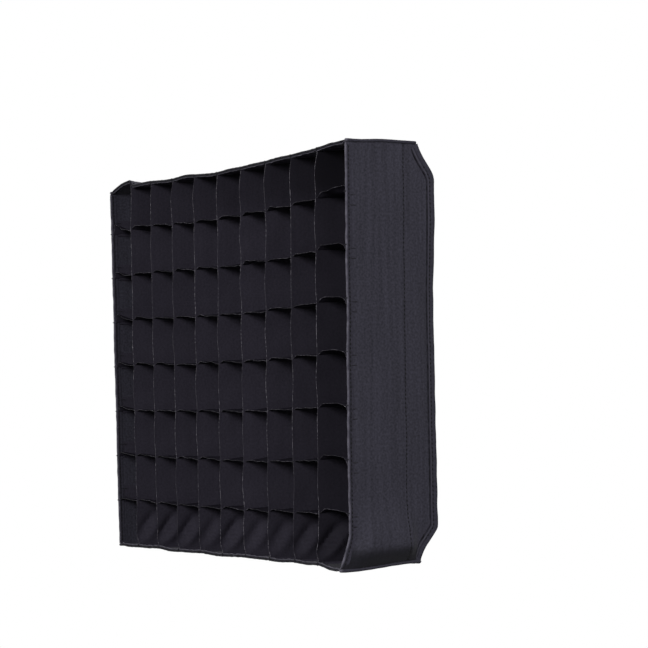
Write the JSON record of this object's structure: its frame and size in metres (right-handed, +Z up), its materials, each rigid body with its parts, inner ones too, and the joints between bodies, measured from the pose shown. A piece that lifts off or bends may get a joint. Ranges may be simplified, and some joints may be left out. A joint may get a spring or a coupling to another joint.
{
  "type": "fabric softbox control grid",
  "caption": "Fabric egg-crate light control grid for a rectangular softbox, with cloth walls, interlocking strips and rear flaps that grip the rim with loop tape.",
  "frame": {"origin": "middle of the plane at which the softbox's front rim stops inside the skirt, on the grid's centre line", "axes": "+X to the right along the width seen from the front, +Y to the rear along the depth towards the softbox, +Z up"},
  "size_m": [0.4046, 0.08, 0.3246],
  "materials": {
    "wall_cloth": "satin",
    "hem_cloth": "satin",
    "binding_cloth": "matte",
    "strip_cloth": "satin",
    "loop_tape": "matte"
  },
  "bodies": {
    "top_side": {"top_wall": "wall_cloth", "top_front_hem": "hem_cloth", "top_strip_tabs": "strip_cloth", "top_loop_tape_front": "loop_tape", "top_left_corner_seam": "binding_cloth", "top_right_corner_seam": "binding_cloth"},
    "left_side": {"left_wall": "wall_cloth", "left_front_hem": "hem_cloth", "left_strip_tabs": "strip_cloth", "left_loop_tape_front": "loop_tape", "bottom_left_corner_seam": "binding_cloth"},
    "bottom_side": {"bottom_wall": "wall_cloth", "bottom_front_hem": "hem_cloth", "bottom_strip_tabs": "strip_cloth", "bottom_loop_tape_front": "loop_tape", "bottom_right_corner_seam": "binding_cloth"},
    "right_side": {"right_wall": "wall_cloth", "right_front_hem": "hem_cloth", "right_strip_tabs": "strip_cloth", "right_loop_tape_front": "loop_tape"},
    "top_rear_flap": {"top_flap": "wall_cloth", "top_flap_binding": "binding_cloth", "top_loop_tape_rear": "loop_tape"},
    "left_rear_flap": {"left_flap": "wall_cloth", "left_flap_binding": "binding_cloth", "left_loop_tape_rear": "loop_tape"},
    "bottom_rear_flap": {"bottom_flap": "wall_cloth", "bottom_flap_binding": "binding_cloth", "bottom_loop_tape_rear": "loop_tape"},
    "right_rear_flap": {"right_flap": "wall_cloth", "right_flap_binding": "binding_cloth", "right_loop_tape_rear": "loop_tape"},
    "column_1": {"column_strip_1": "strip_cloth"},
    "column_2": {"column_strip_2": "strip_cloth"},
    "column_3": {"column_strip_3": "strip_cloth"},
    "column_4": {"column_strip_4": "strip_cloth"},
    "column_5": {"column_strip_5": "strip_cloth"},
    "column_6": {"column_strip_6": "strip_cloth"},
    "column_7": {"column_strip_7": "strip_cloth"},
    "column_8": {"column_strip_8": "strip_cloth"},
    "column_9": {"column_strip_9": "strip_cloth"},
    "row_1": {"row_strip_1": "strip_cloth"},
    "row_2": {"row_strip_2": "strip_cloth"},
    "row_3": {"row_strip_3": "strip_cloth"},
    "row_4": {"row_strip_4": "strip_cloth"},
    "row_5": {"row_strip_5": "strip_cloth"},
    "row_6": {"row_strip_6": "strip_cloth"},
    "row_7": {"row_strip_7": "strip_cloth"}
  },
  "joints": [
    {"name": "grid_fold", "type": "hinge", "parent": "top_side", "child": "left_side", "pos_m": [-0.2, 0, 0.16], "axis": [0, -1, 0], "range_deg": [-70, 70]},
    {"name": "right_side_fold", "type": "hinge", "parent": "top_side", "child": "right_side", "pos_m": [0.2, 0, 0.16], "axis": [0, -1, 0], "range_deg": [-70, 70]},
    {"name": "bottom_side_fold", "type": "hinge", "parent": "left_side", "child": "bottom_side", "pos_m": [-0.2, 0, -0.16], "axis": [0, -1, 0], "range_deg": [-70, 70]},
    {"name": "column_1_fold", "type": "hinge", "parent": "top_side", "child": "column_1", "pos_m": [-0.16, 0, 0.16], "axis": [0, -1, 0], "range_deg": [-70, 70]},
    {"name": "column_2_fold", "type": "hinge", "parent": "top_side", "child": "column_2", "pos_m": [-0.12, 0, 0.16], "axis": [0, -1, 0], "range_deg": [-70, 70]},
    {"name": "column_3_fold", "type": "hinge", "parent": "top_side", "child": "column_3", "pos_m": [-0.08, 0, 0.16], "axis": [0, -1, 0], "range_deg": [-70, 70]},
    {"name": "column_4_fold", "type": "hinge", "parent": "top_side", "child": "column_4", "pos_m": [-0.04, 0, 0.16], "axis": [0, -1, 0], "range_deg": [-70, 70]},
    {"name": "column_5_fold", "type": "hinge", "parent": "top_side", "child": "column_5", "pos_m": [0, 0, 0.16], "axis": [0, -1, 0], "range_deg": [-70, 70]},
    {"name": "column_6_fold", "type": "hinge", "parent": "top_side", "child": "column_6", "pos_m": [0.04, 0, 0.16], "axis": [0, -1, 0], "range_deg": [-70, 70]},
    {"name": "column_7_fold", "type": "hinge", "parent": "top_side", "child": "column_7", "pos_m": [0.08, 0, 0.16], "axis": [0, -1, 0], "range_deg": [-70, 70]},
    {"name": "column_8_fold", "type": "hinge", "parent": "top_side", "child": "column_8", "pos_m": [0.12, 0, 0.16], "axis": [0, -1, 0], "range_deg": [-70, 70]},
    {"name": "column_9_fold", "type": "hinge", "parent": "top_side", "child": "column_9", "pos_m": [0.16, 0, 0.16], "axis": [0, -1, 0], "range_deg": [-70, 70]},
    {"name": "row_1_fold", "type": "hinge", "parent": "left_side", "child": "row_1", "pos_m": [-0.2, 0, -0.12], "axis": [0, -1, 0], "range_deg": [-70, 70]},
    {"name": "row_2_fold", "type": "hinge", "parent": "left_side", "child": "row_2", "pos_m": [-0.2, 0, -0.08], "axis": [0, -1, 0], "range_deg": [-70, 70]},
    {"name": "row_3_fold", "type": "hinge", "parent": "left_side", "child": "row_3", "pos_m": [-0.2, 0, -0.04], "axis": [0, -1, 0], "range_deg": [-70, 70]},
    {"name": "row_4_fold", "type": "hinge", "parent": "left_side", "child": "row_4", "pos_m": [-0.2, 0, 0], "axis": [0, -1, 0], "range_deg": [-70, 70]},
    {"name": "row_5_fold", "type": "hinge", "parent": "left_side", "child": "row_5", "pos_m": [-0.2, 0, 0.04], "axis": [0, -1, 0], "range_deg": [-70, 70]},
    {"name": "row_6_fold", "type": "hinge", "parent": "left_side", "child": "row_6", "pos_m": [-0.2, 0, 0.08], "axis": [0, -1, 0], "range_deg": [-70, 70]},
    {"name": "row_7_fold", "type": "hinge", "parent": "left_side", "child": "row_7", "pos_m": [-0.2, 0, 0.12], "axis": [0, -1, 0], "range_deg": [-70, 70]},
    {"name": "top_flap_fold", "type": "hinge", "parent": "top_side", "child": "top_rear_flap", "pos_m": [0, 0.013, 0.1603], "axis": [1, 0, 0], "range_deg": [0, 150]},
    {"name": "bottom_flap_fold", "type": "hinge", "parent": "bottom_side", "child": "bottom_rear_flap", "pos_m": [0, 0.013, -0.1603], "axis": [-1, 0, 0], "range_deg": [0, 150]},
    {"name": "right_flap_fold", "type": "hinge", "parent": "right_side", "child": "right_rear_flap", "pos_m": [0.2003, 0.013, 0], "axis": [0, 0, -1], "range_deg": [0, 150]},
    {"name": "left_flap_fold", "type": "hinge", "parent": "left_side", "child": "left_rear_flap", "pos_m": [-0.2003, 0.013, 0], "axis": [0, 0, 1], "range_deg": [0, 150]}
  ],
  "couplings": [
    {"joint": "right_side_fold", "follows": "grid_fold", "ratio": 1},
    {"joint": "bottom_side_fold", "follows": "grid_fold", "ratio": -1},
    {"joint": "column_1_fold", "follows": "grid_fold", "ratio": 1},
    {"joint": "column_2_fold", "follows": "grid_fold", "ratio": 1},
    {"joint": "column_3_fold", "follows": "grid_fold", "ratio": 1},
    {"joint": "column_4_fold", "follows": "grid_fold", "ratio": 1},
    {"joint": "column_5_fold", "follows": "grid_fold", "ratio": 1},
    {"joint": "column_6_fold", "follows": "grid_fold", "ratio": 1},
    {"joint": "column_7_fold", "follows": "grid_fold", "ratio": 1},
    {"joint": "column_8_fold", "follows": "grid_fold", "ratio": 1},
    {"joint": "column_9_fold", "follows": "grid_fold", "ratio": 1},
    {"joint": "row_1_fold", "follows": "grid_fold", "ratio": -1},
    {"joint": "row_2_fold", "follows": "grid_fold", "ratio": -1},
    {"joint": "row_3_fold", "follows": "grid_fold", "ratio": -1},
    {"joint": "row_4_fold", "follows": "grid_fold", "ratio": -1},
    {"joint": "row_5_fold", "follows": "grid_fold", "ratio": -1},
    {"joint": "row_6_fold", "follows": "grid_fold", "ratio": -1},
    {"joint": "row_7_fold", "follows": "grid_fold", "ratio": -1}
  ]
}
